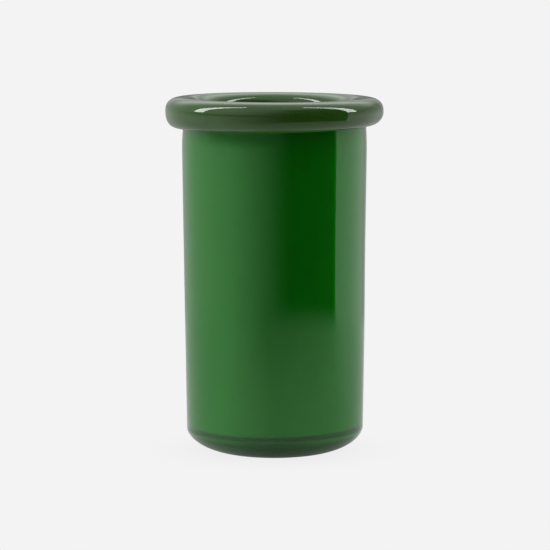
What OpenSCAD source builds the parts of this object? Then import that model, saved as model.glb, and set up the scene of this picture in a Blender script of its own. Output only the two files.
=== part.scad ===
// Small cylinder vase of hand-blown cased glass, with a thick rolled rim.
// Three gathers of glass make it: a dark transparent casing with a heavy base,
// an opaque bright liner inside the casing, and a dark ring wrapped on the lip.
// Every piece is turned about the Z axis. The origin is the centre of the foot, on the table plane.

/* [Body] */
// Overall height, from the foot to the crest of the rim
height = 200; // [160:1:260]
// Diameter at the shoulder, where the body is widest
shoulder_d = 103.5; // [84:0.5:130]
// How much narrower the body is above the heel than at the shoulder, on the radius
taper = 2.1; // [0:0.1:6]
// Distance from the underside of the rim down to the shoulder
shoulder_drop = 13; // [6:1:30]
// How far the neck draws in above the shoulder, on the radius
neck_draw = 0.5; // [0:0.1:3]

/* [Heel and foot] */
// Height of the rounded heel
heel_h = 13.4; // [6:0.1:24]
// Fullness of the heel's curve: 2 is an ellipse, and less is flatter
heel_power = 1.8; // [1.4:0.1:3]
// Outer diameter of the ground ring that the vase stands on
foot_d = 51; // [36:1:66]
// Width of that ground ring
foot_land = 4; // [2:0.5:8]
// Depth of the polished hollow inside the ground ring
kick_depth = 2; // [0.5:0.5:5]

/* [Glass walls] */
// Wall of the dark casing
casing_wall = 3; // [1.5:0.5:6]
// Wall of the bright liner
liner_wall = 2; // [1:0.5:4]
// Thickness of the liner's floor
liner_floor = 3; // [1.5:0.5:8]
// Depth of solid casing glass under the liner
base_glass = 14.5; // [9:0.5:30]
// Round of the corner where the liner's outer wall meets its underside
liner_corner = 1.5; // [1:0.5:8]
// Round of the corner where the liner's inner wall meets its floor
bore_corner = 8; // [3:0.5:14]

/* [Rim] */
// Height of the rim, from its underside to its crest
rim_h = 17; // [12:0.5:24]
// How far below its crest the rim is widest
rim_drop = 7.9; // [4:0.1:10]
// How far the rim stands out beyond the neck
rim_out = 9.8; // [4:0.1:16]
// How far the rim stands into the bore
rim_in = 6.2; // [2:0.1:12]
// How far in from the widest outside circle the crest lies
rim_crest_in = 10; // [6:0.5:14]
// Fullness of the section above its widest place: 2 is an ellipse, and more is squarer
rim_top_power = 2.6; // [2:0.1:4]
// Fullness of the section below its widest place
rim_under_power = 2.4; // [2:0.1:4]

/* [Hidden] */
$fn = 120;

curve_steps = 14;
shoulder_steps = 5;
corner_step = 15;

// Heights of the main levels
seat_z = height - rim_h;
shoulder_z = seat_z - shoulder_drop;
rim_belly_z = height - rim_drop;
liner_z = base_glass;
bore_z = liner_z + liner_floor;

// Radii of the body
shoulder_r = shoulder_d / 2;
heel_r = shoulder_r - taper;
neck_r = shoulder_r - neck_draw;
foot_r = foot_d / 2;
kick_r = foot_r - foot_land;
walls = casing_wall + liner_wall;

// Radii of the rim, which sits on the tops of both walls
rim_r = neck_r + rim_out;
rim_crest_r = rim_r - rim_crest_in;
rim_seat_r = neck_r - walls;
mouth_r = rim_seat_r - rim_in;

// Radius of the sphere that cuts the hollow in the foot
kick_sphere_r = (kick_r * kick_r + kick_depth * kick_depth) / (2 * kick_depth);

function reversed(list) = [for (i = [len(list) - 1 : -1 : 0]) list[i]];

// A quarter of a superellipse about [r, z], from its top or bottom (t = 0) to its side (t = 90)
function quarter(r, z, reach, rise, power) =
    [for (i = [0 : curve_steps])
        let (t = 90 * i / curve_steps)
        [r + reach * pow(sin(t), 2 / power), z + rise * pow(cos(t), 2 / power)]];

// Outer radius of the body between the heel and the shoulder
function body_r(z) = heel_r + taper * (z - heel_h) / (shoulder_z - heel_h);

// The side of the wall above the shoulder, a given depth inside the body's surface
function shoulder_line(depth) =
    [for (i = [0 : shoulder_steps])
        let (u = i / shoulder_steps)
        [shoulder_r - neck_draw * u * u - depth, shoulder_z + shoulder_drop * u]];

// The side and the round lower corner of a cup whose floor is at height z
function cup_line(depth, z, corner) =
    let (r = body_r(z + corner) - depth)
    concat(
        [for (a = [-90 : corner_step : 0])
            [r - corner + corner * cos(a), z + corner + corner * sin(a)]],
        shoulder_line(depth));

// The rounded heel, from the foot ring up to the side
function heel_line() = quarter(foot_r, heel_h, heel_r - foot_r, -heel_h, heel_power);

// The dark casing: tube, rounded heel and thick base in one gather of glass
module outer_casing() {
    color([0.05, 0.26, 0.06])
    difference() {
        rotate_extrude()
            polygon(concat(
                [[0, 0]],
                heel_line(),
                shoulder_line(0),
                reversed(cup_line(casing_wall, liner_z, liner_corner)),
                [[0, liner_z]]));
        translate([0, 0, kick_depth - kick_sphere_r])
            sphere(r = kick_sphere_r);
    }
}

// The bright liner: a cup that lines the whole bore of the casing
module inner_liner() {
    color([0.02, 0.6, 0.05])
    rotate_extrude()
        polygon(concat(
            [[0, liner_z]],
            cup_line(casing_wall, liner_z, liner_corner),
            reversed(cup_line(walls, bore_z, bore_corner)),
            [[0, bore_z]]));
}

// The rolled rim: a ring of dark glass seated on the top edges of casing and liner
module rolled_rim() {
    under_rise = seat_z - rim_belly_z;
    color([0.12, 0.2, 0.09])
    rotate_extrude()
        polygon(concat(
            quarter(neck_r, rim_belly_z, rim_out, under_rise, rim_under_power),
            reversed(quarter(rim_crest_r, rim_belly_z, rim_crest_in, rim_drop, rim_top_power)),
            quarter(rim_crest_r, rim_belly_z, mouth_r - rim_crest_r, rim_drop, rim_top_power),
            reversed(quarter(rim_seat_r, rim_belly_z, -rim_in, under_rise, rim_under_power))));
}

outer_casing();
inner_liner();
rolled_rim();
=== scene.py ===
# %% [markdown]
# # A small vase of cased glass with a rolled rim
#
# The vase is three gathers of glass, laid one on another while hot. An opaque bright green
# liner gives the body its colour. A dark, clear green casing covers it and runs together
# below it into a heavy rounded base. A thick ring of the dark glass is wrapped on the lip.
# Glass has hardly any colour pattern of its own: its look comes from how thick it is, how it
# bends light, and what stands around it. So this lesson builds true thicknesses, lets the
# glass absorb light by depth, and takes as much care with the studio as with the vase.

# %% Load the design
import math

import bmesh
import bpy
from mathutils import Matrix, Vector


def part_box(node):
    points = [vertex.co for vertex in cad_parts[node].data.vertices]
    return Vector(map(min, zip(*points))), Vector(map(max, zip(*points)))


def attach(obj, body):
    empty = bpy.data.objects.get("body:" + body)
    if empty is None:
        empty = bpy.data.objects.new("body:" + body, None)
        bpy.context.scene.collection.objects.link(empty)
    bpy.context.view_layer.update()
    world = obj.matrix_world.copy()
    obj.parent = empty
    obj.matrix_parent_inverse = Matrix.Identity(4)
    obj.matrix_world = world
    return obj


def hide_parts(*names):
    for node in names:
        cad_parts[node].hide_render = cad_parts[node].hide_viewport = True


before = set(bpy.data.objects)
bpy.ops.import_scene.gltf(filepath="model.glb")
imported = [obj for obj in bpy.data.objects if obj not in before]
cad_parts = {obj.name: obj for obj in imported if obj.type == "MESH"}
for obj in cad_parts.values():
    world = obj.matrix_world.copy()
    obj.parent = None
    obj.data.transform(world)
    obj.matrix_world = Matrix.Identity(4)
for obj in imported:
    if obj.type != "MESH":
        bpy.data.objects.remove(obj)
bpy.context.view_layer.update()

MM = 0.001

# %% [markdown]
# ## Sizes taken from the design
#
# Three solids stand in the design, one for each gather. Their boxes give the heights and
# radii where the gathers meet: the underside of the liner, the seat and the crest of the rim,
# the widest radii and the casing's wall. Reading them here means that the finished vase can't
# drift away from the design. A few sizes don't show in any box, such as the taper and the
# liner's wall. They are written once, with the design's own values, where they are first needed.

# %% Main sizes
casing_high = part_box("outer_casing")[1]
liner_low, liner_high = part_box("inner_liner")
rim_low, rim_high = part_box("rolled_rim")

HEIGHT = rim_high[2]
SEAT = rim_low[2]
LINER_UNDER = liner_low[2]
SHOULDER_R = casing_high[0]
RIM_R = rim_high[0]
CASING_WALL = casing_high[0] - liner_high[0]
NECK_DRAW = 0.5 * MM
NECK_R = SHOULDER_R - NECK_DRAW
print("rim seat %.1f mm up, shoulder radius %.2f mm" % (SEAT / MM, SHOULDER_R / MM))

# %% [markdown]
# ## The small faults of hand work
#
# Blown glass is never quite round or level: the body sways by a few hundredths of a
# millimetre, one side of the body is a little fuller, and the rim droops on one side and
# rises on the other. These faults could be pushed in with lattices or displacement, piece by
# piece. One function does it here, because every point of every piece then goes through the
# same warp. The liner, casing and rim go out of true together, and where they meet in the
# true form they still meet in the blown one.

# %% A soft step and a bell curve
def smooth_step(low, high, value):
    t = min(max((value - low) / (high - low), 0.0), 1.0)
    return t * t * (3 - 2 * t)


def bell(centre, reach, value):
    return math.exp(-((value - centre) / reach) ** 2)


# %% The warp of the blown form
# Each wave around the body has its number of lobes, size, start and twist with height
WAVES = [(2, 0.05 * MM, 0.6, 9), (3, 0.04 * MM, 2.1, -14), (5, 0.02 * MM, 1.3, 30)]
# The right side is fuller at the bottom, up to the first height, and true above the second
FULLER_SIDE = 0.4 * MM
FULLER_FROM_TO = (60 * MM, 120 * MM)
# The rim's outer lower edge hangs towards this direction, and the whole edge sits a little high
RIM_DROOP = 1.5 * MM
DROOP_TOWARDS = math.radians(228)
EDGE_RISE = 0.3 * MM
DROOP_FADE = (SEAT + 2 * MM, SEAT + 10 * MM)
# The seat of the rim rises on the right
SEAT_LIFT = 1.5 * MM
SEAT_REACH = 8 * MM
# The liner's floor is out of level, lower on the left
FLOOR_TILT = 0.5 * MM
FLOOR_REACH = 6 * MM
# The crest is low in one direction and true in the opposite one
CREST_TILT = 0.22 * MM
CREST_TURN = math.radians(50)
CREST_FROM = SEAT + 4 * MM


def hand_warp(radius, angle, z):
    """Where a point of the true form lies on the blown one."""
    right_side = max(math.cos(angle), 0) ** 2
    sway = sum(size * math.sin(lobes * angle + start + twist * z) for lobes, size, start, twist in WAVES)
    fuller = FULLER_SIDE * right_side * (1 - smooth_step(*FULLER_FROM_TO, z))
    radius += (sway + fuller) * min(radius / SHOULDER_R, 1.0)
    beyond_neck = smooth_step(NECK_R, RIM_R, radius)
    droop = RIM_DROOP * math.cos(angle - DROOP_TOWARDS) - EDGE_RISE
    z -= droop * beyond_neck * (1 - smooth_step(*DROOP_FADE, z))
    z += SEAT_LIFT * right_side * (1 - beyond_neck) * bell(SEAT, SEAT_REACH, z)
    z += FLOOR_TILT * math.cos(angle) * (radius / SHOULDER_R) * bell(LINER_UNDER, FLOOR_REACH, z)
    z -= CREST_TILT * (1 + math.cos(angle + CREST_TURN)) * smooth_step(CREST_FROM, HEIGHT, z)
    return radius, z


lowest_z = hand_warp(RIM_R, DROOP_TOWARDS, SEAT)[1]
print("the rim's lower edge hangs by %.2f mm on its low side" % ((SEAT - lowest_z) / MM))

# %% [markdown]
# ## Turning an outline into glass
#
# Every piece is a body of revolution, so one lathe makes them all. Blender's Screw modifier
# would turn a profile as well, but it leaves no place for the warp. Here a function makes
# each ring of points itself and passes every point through the warp. Edges that turn by more
# than SHARP degrees stay sharp, because a smoothed edge bends the light for millimetres
# around it and shows up in glass as a false dark band.

# %% The lathe
SHARP = 35
ON_AXIS = 0.0001 * MM


def lathe(name, outline, steps=224):
    """Turns an outline of (radius, height) points about Z; an end on the axis becomes one point."""
    verts, faces, rows = [], [], []
    for radius, z in outline:
        if radius < ON_AXIS:
            rows.append([len(verts)])
            verts.append((0, 0, z))
            continue
        rows.append(list(range(len(verts), len(verts) + steps)))
        for i in range(steps):
            angle = 2 * math.pi * i / steps
            r, height = hand_warp(radius, angle, z)
            verts.append((r * math.cos(angle), r * math.sin(angle), height))
    for low, high in zip(rows, rows[1:] + rows[:1]):
        if len(low) == 1 and len(high) == 1:
            continue
        for i in range(steps):
            j = (i + 1) % steps
            if len(low) == 1:
                faces.append((low[0], high[j], high[i]))
            elif len(high) == 1:
                faces.append((low[i], low[j], high[0]))
            else:
                faces.append((low[i], low[j], high[j], high[i]))
    mesh = bpy.data.meshes.new(name)
    mesh.from_pydata(verts, [], faces)
    mesh.validate()
    mesh.shade_smooth()
    mesh.set_sharp_from_angle(angle=math.radians(SHARP))
    piece = bpy.data.objects.new(name, mesh)
    bpy.context.scene.collection.objects.link(piece)
    print(name, "has", len(verts), "points and", len(faces), "faces")
    return piece


# %% [markdown]
# ## Curves that the outlines share
#
# Soft glass sags into full, rounded sections that are fatter than an ellipse or flatter than
# one. A Bezier curve could trace them point by point. A superellipse needs only a reach, a
# rise and one power for its fullness, so each stretch of the outline is one line, and its
# values are the same as in the design.

# %% A quarter curve and a round corner
def quarter(centre_r, centre_z, reach, rise, power, steps=28):
    """A quarter of a superellipse, from above or below the centre out to its side."""
    points = []
    for i in range(steps + 1):
        t = math.pi / 2 * i / steps
        across = max(math.sin(t), 0.0) ** (2 / power)
        up = max(math.cos(t), 0.0) ** (2 / power)
        points.append((centre_r + reach * across, centre_z + rise * up))
    return points


def corner(radius, z, round_r, steps=10):
    """A round corner between a flat floor at height z and a side of that radius."""
    points = []
    for i in range(steps + 1):
        a = -math.pi / 2 + math.pi / 2 * i / steps
        points.append((radius - round_r + round_r * math.cos(a), z + round_r + round_r * math.sin(a)))
    return points


# %% The side of the body
SHOULDER_DROP = 13 * MM
SHOULDER = SEAT - SHOULDER_DROP
TAPER = 2.1 * MM
HEEL_H = 13.4 * MM
HEEL_R = SHOULDER_R - TAPER


def side_radius(z):
    return HEEL_R + TAPER * (z - HEEL_H) / (SHOULDER - HEEL_H)


def side(depth, low_z, top_z, steps=44):
    """The side of the body a given depth inside its surface, upward to the top."""
    points = []
    for i in range(steps + 1):
        z = low_z + (top_z - low_z) * i / steps
        rise = max(z - SHOULDER, 0) / (SEAT - SHOULDER)
        straight = side_radius(min(z, SHOULDER))
        points.append((straight - NECK_DRAW * rise * rise - depth, z))
    return points


print("the body is %.1f mm across above the heel" % (2 * side_radius(HEEL_H) / MM))

# %% [markdown]
# ## The dark casing
#
# The casing is the glass that the eye meets first: a clear tube over the liner, a rounded
# heel, and a deep disc of solid glass below. Underneath, the maker breaks the vase off the
# rod and grinds a narrow ring for it to stand on, around a shallow polished hollow. It is
# one closed shell with an inner wall, because light has to enter and leave true surfaces
# to bend properly.

# %% Outline of the foot and the heel
FOOT_R = 25.5 * MM
FOOT_LAND = 4 * MM
KICK = 2 * MM
HEEL_POWER = 1.8
HOLLOW_STEPS = 12
LAND_STEPS = 4


def foot_outline():
    """From the centre of the polished hollow out to the ground ring and up the heel."""
    hollow_r = FOOT_R - FOOT_LAND
    hollow = []
    for i in range(HOLLOW_STEPS):
        hollow.append((hollow_r * i / HOLLOW_STEPS, KICK * (1 - (i / HOLLOW_STEPS) ** 2)))
    land = [(hollow_r + FOOT_LAND * i / LAND_STEPS, 0.0) for i in range(LAND_STEPS + 1)]
    heel = quarter(FOOT_R, HEEL_H, HEEL_R - FOOT_R, -HEEL_H, HEEL_POWER)
    return hollow + land + heel[1:]


print("the foot's outline has", len(foot_outline()), "points")

# %% Mesh of the casing
LINER_CORNER = 1.5 * MM
FLAT_STEPS = 10


def cup_outline(depth, floor_z, round_r, top_z):
    """From the axis along a floor, round its corner and up the side."""
    turn_r = side_radius(floor_z + round_r) - depth
    flat = [((turn_r - round_r) * i / FLAT_STEPS, floor_z) for i in range(FLAT_STEPS)]
    return flat + corner(turn_r, floor_z, round_r) + side(depth, floor_z + round_r, top_z)[1:]


casing_outline = foot_outline() + side(0, HEEL_H, SEAT)[1:]
casing_outline += reversed(cup_outline(CASING_WALL, LINER_UNDER, LINER_CORNER, SEAT))
casing = lathe("casing", casing_outline)
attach(casing, "root")
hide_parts("outer_casing")

# %% [markdown]
# ## Seeds in the casing
#
# A gather always holds a few seeds, which are air bubbles less than a millimetre across. Most
# of these lie in or near the base, where the glass is deepest. A bump or a speckled texture
# would only draw them on the skin, so they are true hollows: small closed balls added to the
# casing's own mesh with their faces turned inwards, so that light leaves the glass on one side
# and enters it again on the other. Each is a little taller than wide, as soft glass is drawn.

# %% Seed bubbles
# Angle in degrees, then radius, height and size in millimetres
SEEDS = [(-80.9, 48.2, 19.4, 0.30), (-118, 44, 10.5, 0.22), (-62, 36, 8.2, 0.26), (35, 41, 11.2, 0.24),
         (78, 49.2, 96, 0.22), (160, 38, 9.0, 0.30), (-150, 48.2, 58, 0.18), (-20, 27, 7.4, 0.34)]
SEED_STRETCH = 1.3


def add_seeds(piece):
    """Adds every seed to the piece's mesh as a closed ball that faces inwards."""
    shell = bmesh.new()
    shell.from_mesh(piece.data)
    for angle, radius, height, size in SEEDS:
        a = math.radians(angle)
        place = Vector((radius * math.cos(a), radius * math.sin(a), height)) * MM
        ball = bmesh.ops.create_icosphere(shell, subdivisions=2, radius=size * MM)["verts"]
        for vert in ball:
            vert.co = Vector((vert.co.x, vert.co.y, vert.co.z * SEED_STRETCH)) + place
        faces = {face for vert in ball for face in vert.link_faces}
        bmesh.ops.reverse_faces(shell, faces=list(faces))
        for face in faces:
            face.smooth = True
    shell.to_mesh(piece.data)
    shell.free()
    print("added", len(SEEDS), "seeds")


add_seeds(casing)

# %% [markdown]
# ## The bright liner
#
# The liner is a plain cup. It is fused to the casing, so no air lies between them. If the
# two meshes only touched, the renderer would find a skin of air, or two faces fighting in
# one place. So the liner is made a few hundredths of a millimetre too large, and a ray that
# travels through the casing meets the liner before it meets the casing's own inner wall.

# %% Outline and mesh of the liner
LINER_WALL = 2 * MM
LINER_FLOOR = 3 * MM
BORE_CORNER = 8 * MM
FUSED = 0.04 * MM

liner_outline = cup_outline(CASING_WALL - FUSED, LINER_UNDER - FUSED, LINER_CORNER, SEAT + FUSED)
bore_depth = CASING_WALL + LINER_WALL
liner_outline += reversed(cup_outline(bore_depth, LINER_UNDER + LINER_FLOOR, BORE_CORNER, SEAT + FUSED))
liner = lathe("liner", liner_outline)
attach(liner, "root")
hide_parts("inner_liner")

# %% [markdown]
# ## The rolled rim
#
# The rim is a ring of glass about as thick as a finger, wound on the hot lip and rolled
# true. Its section is between a circle and a square: full on top, with the widest place a
# little above the middle, and a little rounder underneath. A swept circle would be too round
# at the crest. Four quarter curves make this section instead, and they meet at the crest, at
# both sides and at the flat seat on the wall.

# %% Sizes of the rim
RIM_DROP = 7.9 * MM
RIM_TOP_POWER = 2.6
RIM_UNDER_POWER = 2.4
RIM_OUT = RIM_R - NECK_R
RIM_IN = 6.2 * MM
CREST_IN = 10 * MM
BELLY = HEIGHT - RIM_DROP
CREST_R = RIM_R - CREST_IN
BORE_R = NECK_R - CASING_WALL - LINER_WALL
MOUTH_R = BORE_R - RIM_IN
print("mouth %.1f mm across, rim %.1f mm across" % (2 * MOUTH_R / MM, 2 * RIM_R / MM))

# %% Outline and mesh of the rim
SEAT_STEPS = 6

seat = [(BORE_R + (NECK_R - BORE_R) * i / SEAT_STEPS, SEAT) for i in range(SEAT_STEPS)]
under_outside = quarter(NECK_R, BELLY, RIM_OUT, SEAT - BELLY, RIM_UNDER_POWER)
top_outside = quarter(CREST_R, BELLY, CREST_IN, RIM_DROP, RIM_TOP_POWER)
top_inside = quarter(CREST_R, BELLY, MOUTH_R - CREST_R, RIM_DROP, RIM_TOP_POWER)
under_inside = quarter(BORE_R, BELLY, -RIM_IN, SEAT - BELLY, RIM_UNDER_POWER)
rim_outline = seat + under_outside + list(reversed(top_outside))[1:]
rim_outline += top_inside[1:] + list(reversed(under_inside))[1:-1]
rim = lathe("rolled_rim_glass", rim_outline)
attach(rim, "root")
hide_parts("rolled_rim")

# %% [markdown]
# ## The finish of the glass
#
# Dark green glass takes red and blue out of the light that travels through it, so a thin wall
# is bright green and a thick base is dark. Two things give that here. The skin of the glass has
# a tint with faint streaks, and a volume takes more light away with every millimetre of depth.
# The surface is polished, with a faint unevenness that lets the reflections waver. The casing
# is almost wholly clear, so that the liner shines through it. The rim is a yellower glass, and
# only half clear: its thick roll looks solid, as dark glass does once light is lost in it.

# %% Helpers for materials
def new_material(name):
    material = bpy.data.materials.new(name)
    material.use_nodes = True
    nodes = material.node_tree.nodes
    nodes.clear()
    output = nodes.new("ShaderNodeOutputMaterial")
    shader = nodes.new("ShaderNodeBsdfPrincipled")
    material.node_tree.links.new(shader.outputs["BSDF"], output.inputs["Surface"])
    return material, shader, output


def surface_noise(tree, scale, detail, stretch=(1, 1, 1)):
    coords = tree.nodes.new("ShaderNodeTexCoord")
    mapping = tree.nodes.new("ShaderNodeMapping")
    mapping.inputs["Scale"].default_value = stretch
    pattern = tree.nodes.new("ShaderNodeTexNoise")
    pattern.inputs["Scale"].default_value = scale
    pattern.inputs["Detail"].default_value = detail
    tree.links.new(coords.outputs["Object"], mapping.inputs["Vector"])
    tree.links.new(mapping.outputs["Vector"], pattern.inputs["Vector"])
    return pattern


def add_bump(tree, shader, pattern, height, strength):
    bump = tree.nodes.new("ShaderNodeBump")
    bump.inputs["Distance"].default_value = height
    bump.inputs["Strength"].default_value = strength
    tree.links.new(pattern.outputs["Fac"], bump.inputs["Height"])
    tree.links.new(bump.outputs["Normal"], shader.inputs["Normal"])


def colour_ramp(tree, shader, pattern, low, high, places=(0, 1)):
    """Runs the base colour from low to high with the pattern, between two places on its scale."""
    ramp = tree.nodes.new("ShaderNodeValToRGB")
    for element, place, colour in zip(ramp.color_ramp.elements, places, (low, high)):
        element.position = place
        element.color = (*colour, 1)
    tree.links.new(pattern.outputs["Fac"], ramp.inputs["Fac"])
    tree.links.new(ramp.outputs["Color"], shader.inputs["Base Color"])


# %% The recipe for dark glass
STREAK_CONTRAST = 0.07
STREAK_PLACES = (0.3, 0.7)
GLASS_INDEX = 1.5


def dark_glass(name, colour, clearness, loss):
    """Dark glass: its skin has a colour of its own, and its depth takes light away per metre."""
    material, shader, output = new_material(name)
    tree = material.node_tree
    streaks = surface_noise(tree, scale=18, detail=3, stretch=(1, 1, 0.3))
    darker = [part * (1 - STREAK_CONTRAST) for part in colour]
    brighter = [min(part * (1 + STREAK_CONTRAST), 1) for part in colour]
    colour_ramp(tree, shader, streaks, darker, brighter, places=STREAK_PLACES)
    shader.inputs["Transmission Weight"].default_value = clearness
    shader.inputs["Roughness"].default_value = 0
    shader.inputs["IOR"].default_value = GLASS_INDEX
    volume = tree.nodes.new("ShaderNodeVolumeAbsorption")
    volume.inputs["Density"].default_value = max(loss)
    volume.inputs["Color"].default_value = (*[1 - part / max(loss) for part in loss], 1)
    tree.links.new(volume.outputs["Volume"], output.inputs["Volume"])
    add_bump(tree, shader, surface_noise(tree, scale=30, detail=2), height=0.2 * MM, strength=0.25)
    print(name, "loses", loss, "of red, green and blue per metre")
    return material


# %% Dark glass for the casing and the rim
CASING_COLOUR = (0.02, 0.72, 0.02)
RIM_COLOUR = (0.033, 0.112, 0.011)

casing.data.materials.append(dark_glass("casing_glass", CASING_COLOUR, clearness=0.93, loss=(80, 22, 85)))
rim.data.materials.append(dark_glass("rim_glass", RIM_COLOUR, clearness=0.5, loss=(70, 25, 90)))

# %% [markdown]
# ## The ground ring
#
# The foot is ground flat on a wheel, so that one narrow ring is matt and pale while the glass
# on both sides of it keeps its polish. A mask over the whole casing could mix the two finishes.
# But the ring is a clean band of faces, so those faces simply get a material of their own:
# rougher, paler, and with a fine grain.

# %% Ground glass
ground, shader, output = new_material("ground_glass")
tree = ground.node_tree
shader.inputs["Roughness"].default_value = 0.55
shader.inputs["IOR"].default_value = GLASS_INDEX
grain = surface_noise(tree, scale=900, detail=3)
colour_ramp(tree, shader, grain, (0.10, 0.21, 0.10), (0.20, 0.33, 0.19))
add_bump(tree, shader, grain, height=0.1 * MM, strength=0.5)
casing.data.materials.append(ground)

# %% The faces of the ring
ON_TABLE = 0.02 * MM

on_ring = 0
for face in casing.data.polygons:
    low = max(abs(casing.data.vertices[i].co.z) for i in face.vertices) < ON_TABLE
    if low and math.hypot(face.center.x, face.center.y) > FOOT_R - FOOT_LAND:
        face.material_index = 1
        on_ring += 1
print("ground faces:", on_ring)

# %% [markdown]
# ## The liner's opaque glass
#
# The liner is full of fine pigment, so light stops near its face and only green comes back.
# Scattering inside a volume would copy that, but slowly. A green surface does as well here,
# because the liner is never thin enough to show through. It has long, faint streaks, as the
# glass was drawn out when it was blown. Its index is higher than that of common glass, so
# that it mirrors the room through the casing and gives the body a green sheen.

# %% Bright opaque glass for the liner
material, shader, output = new_material("liner_glass")
tree = material.node_tree
shader.inputs["Roughness"].default_value = 0.06
shader.inputs["IOR"].default_value = 1.8
streaks = surface_noise(tree, scale=14, detail=4, stretch=(1, 1, 0.25))
colour_ramp(tree, shader, streaks, (0.006, 0.160, 0.005), (0.007, 0.185, 0.006), places=STREAK_PLACES)
liner.data.materials.append(material)
for piece in (casing, liner, rim):
    print(piece.name, "is finished in", [finish.name for finish in piece.data.materials])

# %% [markdown]
# ## The studio
#
# A glossy vase is a mirror with a colour. What it needs is a calm room to reflect: a pale
# table, a white tent around it and two tall strip lights. Lamps alone would leave most of the
# glass black, and one even grey world would leave it flat. The tent and the strips are never
# seen directly, so the vase can be looked at from any side. The air around them has two
# values, a pale one for the eye and a nearly black one for the light that it adds.

# %% The surrounding air
PALE = 0.896
FAINT = 0.02


def node_links(tree):
    tree.nodes.clear()
    return tree.nodes, tree.links


world = bpy.data.worlds.new("studio")
bpy.context.scene.world = world
world.use_nodes = True
nodes, links = node_links(world.node_tree)
seen = nodes.new("ShaderNodeBackground")
seen.inputs["Color"].default_value = (PALE, PALE, PALE, 1)
felt = nodes.new("ShaderNodeBackground")
felt.inputs["Color"].default_value = (FAINT, FAINT, FAINT, 1)
path = nodes.new("ShaderNodeLightPath")
mix = nodes.new("ShaderNodeMixShader")
world_output = nodes.new("ShaderNodeOutputWorld")
links.new(path.outputs["Is Camera Ray"], mix.inputs["Fac"])
links.new(felt.outputs["Background"], mix.inputs[1])
links.new(seen.outputs["Background"], mix.inputs[2])
links.new(mix.outputs["Shader"], world_output.inputs["Surface"])

# %% [markdown]
# ## The tent
#
# The tent is a ring of white cloth and panels around the table, lit unevenly. It is bright on
# the left and fades towards the front. At the front right it leaves a dark gap, and then comes
# a white panel with a hard edge, which draws the sharp line down the body. Straight behind the
# vase the cloth is dark low down. It could be lit with real lamps behind real cloth, but every
# change would then move everything. Here each band of the tent is a short list of places and
# brightnesses around the vase, and the bands run into each other with height. The neck band is
# painted shade: it is darker than the bands around it, so that the body just under the rim
# mirrors it and looks shaded there.

# %% The bands of the tent
# Each list holds (azimuth in degrees, brightness): 0 is the front, and the left is positive
FOOT_BAND = [(-180, 0.12), (-172, 0.12), (-164, 0.5), (-150, 0.6), (-133, 0.9), (-120, 1.0), (-81, 1.0),
             (-80, 0.03), (-50, 0.01), (-20, 0.01), (-7, 0.1), (5, 0.25), (18, 0.43), (31, 0.6),
             (58, 0.92), (90, 1.0), (136, 0.8), (152, 0.6), (164, 0.5), (172, 0.12), (180, 0.12)]
# Painted shade: this band is darker than the foot and eye bands from the front round to the left, to shade
# the body just under the rim
NECK_SHADE_BAND = [(-180, 0.12), (-172, 0.12), (-164, 0.4), (-150, 0.5), (-110, 0.8), (-81, 0.8),
             (-80, 0.03), (-20, 0.02), (-6, 0.1), (0, 0.14), (18, 0.18), (43, 0.28), (71, 0.34),
             (105, 0.66), (136, 0.7), (164, 0.4), (172, 0.12), (180, 0.12)]
EYE_BAND = [(-180, 0.6), (-166, 0.5), (-150, 0.4), (-110, 0.6), (-81, 0.55), (-80, 0.03), (-20, 0.04),
            (-6, 0.18), (5, 0.38), (25, 0.72), (47, 1.0), (90, 0.95), (150, 0.6), (180, 0.6)]
HIGH_BAND = [(-180, 1.6), (-155, 1.5), (-120, 0.8), (-81, 1.0), (-80, 0.05), (-20, 0.08),
             (-6, 0.42), (15, 0.78), (47, 1.15), (120, 0.8), (155, 1.5), (180, 1.6)]
ROOF_BAND = [(-180, 0.9), (180, 0.9)]


def between(points, value):
    """Straight-line reading of a list of (place, amount) pairs."""
    for (a, low), (b, high) in zip(points, points[1:]):
        if value <= b:
            return low + (high - low) * (value - a) / (b - a)
    return points[-1][1]


print("the high band reaches a brightness of", max(brightness for azimuth, brightness in HIGH_BAND))

# %% What the tent shows
TENT_R = 0.70
TENT_TOP = 2.6
# A thin dark joint between two panels, at the back right
JOINT_AT = -148
JOINT_WIDTH = 0.9
JOINT_DEPTH = 0.7


def tent_light(azimuth, z):
    """Brightness of the tent in one direction and at one height."""
    foot, neck_shade, eye, high, roof = [between(band, azimuth) for band in
                                   (FOOT_BAND, NECK_SHADE_BAND, EYE_BAND, HIGH_BAND, ROOF_BAND)]
    shade = between([(0, foot), (0.155, foot), (0.19, neck_shade), (0.235, neck_shade), (0.28, eye), (0.42, eye),
                     (0.56, high), (0.85, high), (1.4, roof), (TENT_TOP, roof)], z)
    return shade * (1 - JOINT_DEPTH * bell(JOINT_AT, JOINT_WIDTH, azimuth))


print("low front of the tent %.2f, low left side %.2f" % (tent_light(0, 0), tent_light(90, 0)))

# %% [markdown]
# ## The table
#
# The vase stands on a pale, even table. But the glass sees much more contrast in it than the
# eye does: dark right under the heel, where hardly any light comes in, and then brighter or
# dimmer with the tent above it. A single lit surface can't be plain to the eye and also give
# that, so the table shows an even tone directly and its own shading to every reflection.

# %% How the glass sees the table
# Brightness near the vase and near the tent, by azimuth
TABLE_NEAR = [(-180, 0.55), (-120, 0.75), (-92, 0.8), (-60, 0.75), (0, 0.64), (30, 0.85),
              (58, 1.0), (120, 0.85), (180, 0.55)]
TABLE_FAR = [(-180, 0.5), (-120, 0.9), (-92, 0.95), (-75, 0.6), (-60, 0.48), (-20, 0.36),
             (10, 0.32), (31, 0.6), (58, 0.95), (120, 0.85), (180, 0.5)]
# Radii between which near runs into far, far into the tent, and the dark foot into near
NEAR_TO_FAR = (0.1, 0.6)
FAR_TO_TENT = (0.48, 0.65)
UNDER_FOOT = (0.030, 0.058)


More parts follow.
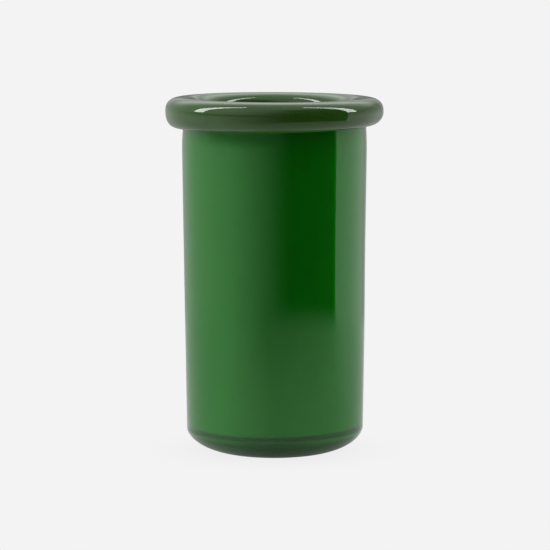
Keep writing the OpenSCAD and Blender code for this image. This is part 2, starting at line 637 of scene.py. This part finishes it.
def table_light(azimuth, radius):
    """How bright the glass sees the table: dark at the foot, and running into the tent."""
    near, far = between(TABLE_NEAR, azimuth), between(TABLE_FAR, azimuth)
    shade = near + (far - near) * smooth_step(*NEAR_TO_FAR, radius)
    shade += (tent_light(azimuth, 0) - shade) * smooth_step(*FAR_TO_TENT, radius)
    return shade * smooth_step(*UNDER_FOOT, radius)


print("table in front of the vase: %.2f near, %.2f far" % (table_light(0, 0.1), table_light(0, 0.45)))

# %% The finish of the table
CONTACT = 0.06
CONTACT_REACH = 0.03


def table_finish():
    """Pale and even to the eye, with a soft contact shadow; its own shading to every other ray."""
    material = bpy.data.materials.new("table")
    material.use_nodes = True
    nodes, links = node_links(material.node_tree)
    close = nodes.new("ShaderNodeAmbientOcclusion")
    close.inputs["Distance"].default_value = CONTACT_REACH
    shade = nodes.new("ShaderNodeMapRange")
    shade.inputs["To Min"].default_value = PALE * (1 - CONTACT)
    shade.inputs["To Max"].default_value = PALE
    even = nodes.new("ShaderNodeEmission")
    read = nodes.new("ShaderNodeAttribute")
    read.attribute_name = "shade"
    glow = nodes.new("ShaderNodeEmission")
    path = nodes.new("ShaderNodeLightPath")
    mix = nodes.new("ShaderNodeMixShader")
    output = nodes.new("ShaderNodeOutputMaterial")
    links.new(close.outputs["AO"], shade.inputs["Value"])
    links.new(shade.outputs["Result"], even.inputs["Strength"])
    links.new(read.outputs["Fac"], glow.inputs["Strength"])
    links.new(path.outputs["Is Camera Ray"], mix.inputs["Fac"])
    links.new(glow.outputs["Emission"], mix.inputs[1])
    links.new(even.outputs["Emission"], mix.inputs[2])
    links.new(mix.outputs["Shader"], output.inputs["Surface"])
    return material


# %% A surface that stores its brightness
def shaded_rings(name, rings, brightness, steps=720):
    """A surface of rings, (radius, height) each, that stores its brightness at every point."""
    verts, faces, shades = [], [], []
    for radius, z in rings:
        for i in range(steps):
            azimuth = -180 + 360 * i / steps
            a = math.radians(-90 - azimuth)
            verts.append((radius * math.cos(a), radius * math.sin(a), z))
            shades.append(brightness(azimuth, radius, z))
    for k in range(len(rings) - 1):
        for i in range(steps):
            j = (i + 1) % steps
            faces.append((k * steps + i, k * steps + j, (k + 1) * steps + j, (k + 1) * steps + i))
    mesh = bpy.data.meshes.new(name)
    mesh.from_pydata(verts, [], faces)
    shade = mesh.attributes.new("shade", "FLOAT", "POINT")
    shade.data.foreach_set("value", shades)
    surface = bpy.data.objects.new(name, mesh)
    bpy.context.scene.collection.objects.link(surface)
    print(name, "has", len(rings), "rings, brightness", round(min(shades), 2), "to", round(max(shades), 2))
    return surface


# %% The table and the tent in place
TABLE = 60.0
# The rings leave a hole of this radius at the middle, under the vase and at the top of the tent
PINHOLE = 0.001
TABLE_STEP, TABLE_RINGS = 0.02, 36
TENT_STEP, TENT_RINGS = 0.05, 53

table_rings = [(PINHOLE + TABLE_STEP * i, 0) for i in range(TABLE_RINGS)] + [(TABLE, 0)]
table = shaded_rings("table", table_rings, lambda azimuth, radius, z: table_light(azimuth, radius))
table.data.materials.append(table_finish())

tent_rings = [(TENT_R, TENT_STEP * i) for i in range(TENT_RINGS)] + [(PINHOLE, TENT_TOP)]
tent = shaded_rings("tent", tent_rings, lambda azimuth, radius, z: tent_light(azimuth, z))
tent.visible_camera = False
tent.visible_shadow = False

# %% The glow of the tent
material = bpy.data.materials.new("tent")
material.use_nodes = True
nodes, links = node_links(material.node_tree)
read = nodes.new("ShaderNodeAttribute")
read.attribute_name = "shade"
glow = nodes.new("ShaderNodeEmission")
output = nodes.new("ShaderNodeOutputMaterial")
links.new(read.outputs["Fac"], glow.inputs["Strength"])
links.new(glow.outputs["Emission"], output.inputs["Surface"])
tent.data.materials.append(material)

# %% [markdown]
# ## The strip lights
#
# Two tall lights stand just inside the tent, one at each side. On the rounded rim they shrink
# to the bright arcs that show how smooth and how thick the roll is. They could be bright
# stripes of the tent, but area lights of the same size give less noise.

# %% The strip lights
INSIDE_TENT = 0.04


def strip_light(name, azimuth, low, high, width, radiance):
    """An upright light between two heights; its power follows from its area and radiance."""
    light = bpy.data.lights.new(name, "AREA")
    light.shape = "RECTANGLE"
    light.size, light.size_y = width, high - low
    light.energy = radiance * width * (high - low) * math.pi
    lamp = bpy.data.objects.new(name, light)
    a = math.radians(-90 - azimuth)
    stand_r = TENT_R - INSIDE_TENT
    lamp.location = (stand_r * math.cos(a), stand_r * math.sin(a), (low + high) / 2)
    outward = Vector((math.cos(a), math.sin(a), 0))
    lamp.rotation_euler = outward.to_track_quat("Z", "Y").to_euler()
    lamp.visible_camera = False
    bpy.context.scene.collection.objects.link(lamp)
    print(name, "gives", round(light.energy, 1), "watts")


strip_light("left_strip", azimuth=84, low=0.31, high=2.5, width=0.16, radiance=11)
strip_light("right_strip", azimuth=-87, low=0.31, high=2.5, width=0.16, radiance=9)

# %% [markdown]
# ## The camera
#
# A long lens from a metre and a half away keeps the sides of the vase nearly parallel. It
# looks down by less than seven degrees, just enough to open the ellipse of the mouth. A shorter
# lens closer by would make the foot look smaller against the rim.

# %% Camera
CAMERA_PLACE = (0.0003, -1.572, 0.2845)
LOOKS_DOWN = 6.71

camera_data = bpy.data.cameras.new("camera")
camera_data.sensor_width = 36
camera_data.lens = 183.7
camera = bpy.data.objects.new("camera", camera_data)
camera.location = CAMERA_PLACE
camera.rotation_euler = (math.radians(90 - LOOKS_DOWN), 0, 0)
bpy.context.scene.collection.objects.link(camera)
bpy.context.scene.camera = camera
bpy.context.scene.view_settings.view_transform = "Standard"
print("camera %.2f m from the vase, looking down by %.2f degrees" % (-CAMERA_PLACE[1], LOOKS_DOWN))
